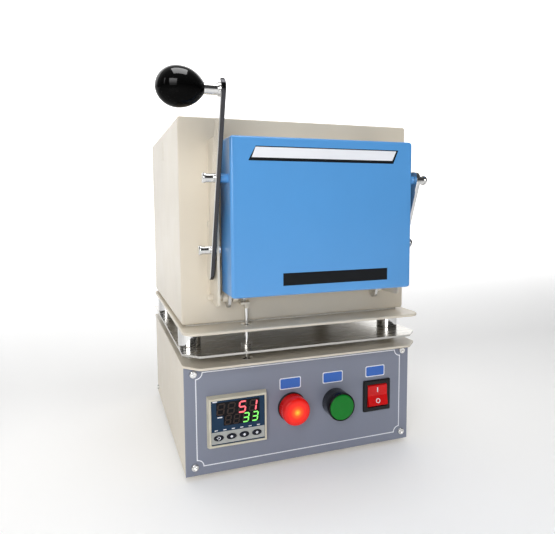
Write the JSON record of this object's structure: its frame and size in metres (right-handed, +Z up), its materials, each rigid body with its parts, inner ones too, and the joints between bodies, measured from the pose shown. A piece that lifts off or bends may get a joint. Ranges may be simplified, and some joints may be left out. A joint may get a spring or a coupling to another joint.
{
  "type": "muffle furnace",
  "caption": "Bench muffle furnace: a square ceramic-lined chamber on a control base, with a swing-down door carried by a parallelogram lever.",
  "frame": {"origin": "middle of the base's underside, where the chassis meets its feet, 5 mm above the bench", "axes": "+X to the right as seen from the door side, +Y to the rear, +Z up"},
  "size_m": [0.2716, 0.3276, 0.3609],
  "materials": {
    "panel_blue_grey": "satin paint",
    "cream_paint": "satin paint",
    "door_paint": "gloss paint",
    "stainless_sheet": "brushed",
    "bright_steel": "polished",
    "zinc_steel": "plated",
    "ceramic_white": "matte",
    "fibre_white": "matte felt",
    "element_wire": "oxidised",
    "rubber_black": "matte",
    "plastic_black": "gloss",
    "plastic_cream": "satin",
    "plastic_dark_blue": "gloss",
    "key_dark": "satin",
    "lens_red": "translucent gloss",
    "cap_green": "gloss",
    "rocker_red": "gloss",
    "plastic_grey": "matte"
  },
  "bodies": {
    "root": {"body_shell": "cream_paint", "button_collar": "plastic_black", "chassis": "cream_paint", "contact_block": "plastic_grey", "controller_bezel": "plastic_cream", "controller_case": "plastic_grey", "controller_face": "plastic_dark_blue", "cover_screws": "zinc_steel", "fin_screws": "zinc_steel", "front_collar": "ceramic_white", "front_panel": "panel_blue_grey", "guide_bush": "bright_steel", "heat_shield": "stainless_sheet", "heating_elements": "element_wire", "insulating_pad": "fibre_white", "insulation": "fibre_white", "interlock_switch": "plastic_black", "lamp_body": "plastic_black", "lamp_lens": "lens_red", "left_fin": "cream_paint", "left_side_panel": "cream_paint", "lid_plate": "cream_paint", "lower_pivot_pins": "bright_steel", "lower_spacers": "zinc_steel", "muffle_chamber": "ceramic_white", "panel_screws": "bright_steel", "pivot_washers": "zinc_steel", "power_inlet": "plastic_black", "rear_cover": "cream_paint", "rear_panel": "cream_paint", "relay": "plastic_grey", "right_fin": "cream_paint", "right_side_panel": "cream_paint", "rocker_frame": "plastic_black", "rubber_feet": "rubber_black", "standoffs": "bright_steel", "terminal_block": "plastic_cream", "thermocouple": "ceramic_white", "tray": "cream_paint"},
    "lever": {"lever": "bright_steel", "knob_ferrule": "bright_steel", "knob": "plastic_black"},
    "right_arm": {"right_arm": "bright_steel"},
    "door": {"door_shell": "door_paint", "door_insulation": "fibre_white", "door_liner": "stainless_sheet", "door_plug": "fibre_white", "upper_pivot_pins": "bright_steel"},
    "cross_shaft": {"cross_shaft": "cream_paint", "lower_links": "bright_steel", "shaft_collars": "cream_paint", "snail_cam": "zinc_steel"},
    "interlock_rod": {"interlock_rod": "bright_steel", "rod_cap": "cream_paint"},
    "button": {"button_cap": "cap_green"},
    "mode_key": {"mode_key": "key_dark"},
    "shift_key": {"shift_key": "key_dark"},
    "down_key": {"down_key": "key_dark"},
    "up_key": {"up_key": "key_dark"},
    "rocker": {"rocker": "rocker_red"}
  },
  "joints": [
    {"name": "lever_hinge", "type": "hinge", "parent": "root", "child": "lever", "pos_m": [0, -0.1365, 0.214], "axis": [1, 0, 0], "range_deg": [0, 120]},
    {"name": "right_arm_hinge", "type": "hinge", "parent": "root", "child": "right_arm", "pos_m": [0, -0.1365, 0.214], "axis": [1, 0, 0], "range_deg": [0, 120]},
    {"name": "door_hinge", "type": "hinge", "parent": "lever", "child": "door", "pos_m": [0, -0.15796, 0.27493], "axis": [1, 0, 0], "range_deg": [-120, 0]},
    {"name": "shaft_hinge", "type": "hinge", "parent": "root", "child": "cross_shaft", "pos_m": [0, -0.119, 0.1689], "axis": [1, 0, 0], "range_deg": [0, 120]},
    {"name": "rod_slide", "type": "slide", "parent": "root", "child": "interlock_rod", "axis": [0, 0, 1], "range_m": [0, 0.003]},
    {"name": "button_press", "type": "slide", "parent": "root", "child": "button", "axis": [0, 1, 0], "range_m": [0, 0.0035], "stiffness_N_per_m": 500, "springref_m": -0.003},
    {"name": "mode_key_press", "type": "slide", "parent": "root", "child": "mode_key", "axis": [0, 1, 0], "range_m": [0, 0.0006], "stiffness_N_per_m": 800, "springref_m": -0.001},
    {"name": "shift_key_press", "type": "slide", "parent": "root", "child": "shift_key", "axis": [0, 1, 0], "range_m": [0, 0.0006], "stiffness_N_per_m": 800, "springref_m": -0.001},
    {"name": "down_key_press", "type": "slide", "parent": "root", "child": "down_key", "axis": [0, 1, 0], "range_m": [0, 0.0006], "stiffness_N_per_m": 800, "springref_m": -0.001},
    {"name": "up_key_press", "type": "slide", "parent": "root", "child": "up_key", "axis": [0, 1, 0], "range_m": [0, 0.0006], "stiffness_N_per_m": 800, "springref_m": -0.001},
    {"name": "rocker_hinge", "type": "hinge", "parent": "root", "child": "rocker", "pos_m": [0.0812, -0.116, 0.0531], "axis": [1, 0, 0], "range_deg": [0, 14]}
  ],
  "couplings": [
    {"joint": "right_arm_hinge", "follows": "lever_hinge", "ratio": 1},
    {"joint": "door_hinge", "follows": "lever_hinge", "ratio": -1},
    {"joint": "shaft_hinge", "follows": "lever_hinge", "ratio": 1},
    {"joint": "rod_slide", "follows": "lever_hinge", "m_per_rad": 0.0014324}
  ]
}
